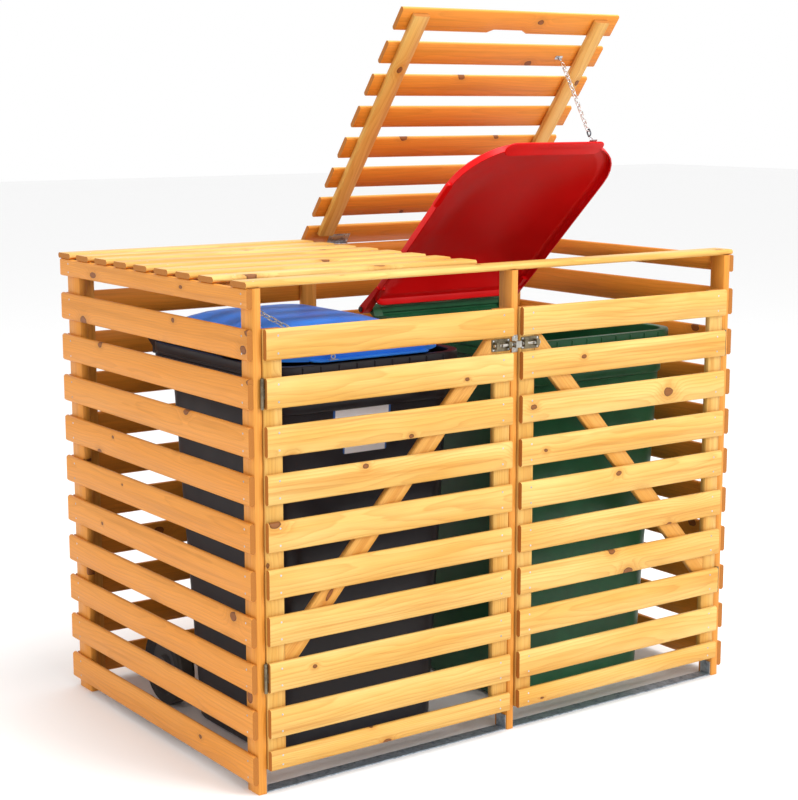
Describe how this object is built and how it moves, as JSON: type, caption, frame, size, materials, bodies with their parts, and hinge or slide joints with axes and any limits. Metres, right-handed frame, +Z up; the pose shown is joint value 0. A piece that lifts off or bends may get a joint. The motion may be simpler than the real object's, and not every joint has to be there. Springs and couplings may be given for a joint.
{
  "type": "wheeled bin store",
  "caption": "Slatted timber store with lifting lids and hinged doors for wheeled refuse bins, with the bins inside and chains that lift their lids.",
  "frame": {"origin": "on the ground under the middle of the outline at rest", "axes": "+Z up, +X to the right seen from the doors, +Y from the doors to the back"},
  "size_m": [1.52, 1.0086, 1.8281],
  "materials": {
    "timber": "planed softwood with a clear honey stain",
    "steel": "zinc plated",
    "chain": "bright galvanised",
    "hook": "dark oiled",
    "bin_black": "moulded, fine grain",
    "bin_green": "moulded, slight sheen",
    "lid_blue": "moulded, semi-gloss",
    "lid_red": "moulded, semi-gloss",
    "wheel": "matt black",
    "peg": "moulded",
    "label": "plain white"
  },
  "bodies": {
    "housing": {"back_battens": "timber", "back_slats": "timber", "header_rail": "timber", "latch_keeper": "steel", "left_bin_axle": "steel", "left_bin_body": "bin_black", "left_bin_label_1": "label", "left_bin_label_2": "label", "left_bin_pegs": "peg", "left_door_fixed_leaves": "steel", "left_front_post": "timber", "left_lid_fixed_leaves": "steel", "left_rear_post": "timber", "left_side_slats": "timber", "left_threshold": "steel", "middle_front_post": "timber", "right_bin_axle": "steel", "right_bin_body": "bin_green", "right_bin_pegs": "peg", "right_door_fixed_leaves": "steel", "right_front_post": "timber", "right_lid_fixed_leaves": "steel", "right_rear_post": "timber", "right_side_slats": "timber", "right_threshold": "steel"},
    "left_lid": {"left_lid_boards": "timber", "left_lid_battens": "timber", "left_lid_hinge_leaves": "steel", "left_lid_chain_eye": "steel"},
    "left_door": {"left_door_slats": "timber", "left_door_battens": "timber", "left_door_brace": "timber", "left_door_hinge_leaves": "steel", "left_latch_plate": "steel"},
    "left_latch": {"left_latch_bolt": "steel"},
    "left_bin_cover": {"left_bin_lid": "lid_blue", "left_lip_anchor": "steel"},
    "left_chain": {"left_snap_hook": "hook", "left_chain_links": "chain"},
    "left_bin_wheel_left": {"left_bin_wheel_left": "wheel"},
    "left_bin_wheel_right": {"left_bin_wheel_right": "wheel"},
    "right_lid": {"right_lid_boards": "timber", "right_lid_battens": "timber", "right_lid_hinge_leaves": "steel", "right_lid_chain_eye": "steel"},
    "right_door": {"right_door_slats": "timber", "right_door_battens": "timber", "right_door_brace": "timber", "right_door_hinge_leaves": "steel", "right_latch_plate": "steel"},
    "right_latch": {"right_latch_bolt": "steel"},
    "right_bin_cover": {"right_bin_lid": "lid_red", "right_lip_anchor": "steel"},
    "right_chain": {"right_snap_hook": "hook", "right_chain_links": "chain"},
    "right_bin_wheel_left": {"right_bin_wheel_left": "wheel"},
    "right_bin_wheel_right": {"right_bin_wheel_right": "wheel"}
  },
  "joints": [
    {"name": "left_lid_hinge", "type": "hinge", "parent": "housing", "child": "left_lid", "pos_m": [-0.38, 0.487, 1.17], "axis": [-1, 0, 0], "range_deg": [0, 52]},
    {"name": "left_door_hinge", "type": "hinge", "parent": "housing", "child": "left_door", "pos_m": [-0.7275, -0.49, 0.61], "axis": [0, 0, -1], "range_deg": [0, 110]},
    {"name": "left_latch_slide", "type": "slide", "parent": "left_door", "child": "left_latch", "axis": [1, 0, 0], "range_m": [0, 0.015]},
    {"name": "left_bin_lid_hinge", "type": "hinge", "parent": "housing", "child": "left_bin_cover", "pos_m": [-0.37, 0.295, 1], "axis": [-1, 0, 0], "range_deg": [0, 43]},
    {"name": "left_chain_swing", "type": "hinge", "parent": "left_bin_cover", "child": "left_chain", "pos_m": [-0.49, -0.417, 1.006], "axis": [0.9359, 0.2077, 0.2845], "range_deg": [0, 55.67]},
    {"name": "left_bin_wheel_left_spin", "type": "hinge", "parent": "housing", "child": "left_bin_wheel_left", "pos_m": [-0.609, 0.205, 0.1], "axis": [1, 0, 0], "continuous": true},
    {"name": "left_bin_wheel_right_spin", "type": "hinge", "parent": "housing", "child": "left_bin_wheel_right", "pos_m": [-0.131, 0.205, 0.1], "axis": [1, 0, 0], "continuous": true},
    {"name": "right_lid_hinge", "type": "hinge", "parent": "housing", "child": "right_lid", "pos_m": [0.38, 0.487, 1.17], "axis": [-1, 0, 0], "range_deg": [-52, 0]},
    {"name": "right_door_hinge", "type": "hinge", "parent": "housing", "child": "right_door", "pos_m": [0.7275, -0.49, 0.61], "axis": [0, 0, 1], "range_deg": [0, 110]},
    {"name": "right_latch_slide", "type": "slide", "parent": "right_door", "child": "right_latch", "axis": [-1, 0, 0], "range_m": [0, 0.015]},
    {"name": "right_bin_lid_hinge", "type": "hinge", "parent": "housing", "child": "right_bin_cover", "pos_m": [0.35, 0.295, 1], "axis": [-1, 0, 0], "range_deg": [-43, 0]},
    {"name": "right_chain_swing", "type": "hinge", "parent": "right_bin_cover", "child": "right_chain", "pos_m": [0.47, -0.22163, 1.48997], "axis": [0.9229, -0.3651, -0.1225], "range_deg": [-55.29, 0]},
    {"name": "right_bin_wheel_left_spin", "type": "hinge", "parent": "housing", "child": "right_bin_wheel_left", "pos_m": [0.111, 0.205, 0.1], "axis": [1, 0, 0], "continuous": true},
    {"name": "right_bin_wheel_right_spin", "type": "hinge", "parent": "housing", "child": "right_bin_wheel_right", "pos_m": [0.589, 0.205, 0.1], "axis": [1, 0, 0], "continuous": true}
  ],
  "couplings": [
    {"joint": "left_bin_lid_hinge", "follows": "left_lid_hinge", "ratio": 0.82692},
    {"joint": "left_chain_swing", "follows": "left_lid_hinge", "ratio": 1.0706},
    {"joint": "right_bin_lid_hinge", "follows": "right_lid_hinge", "ratio": 0.82692},
    {"joint": "right_chain_swing", "follows": "right_lid_hinge", "ratio": 1.0632}
  ]
}
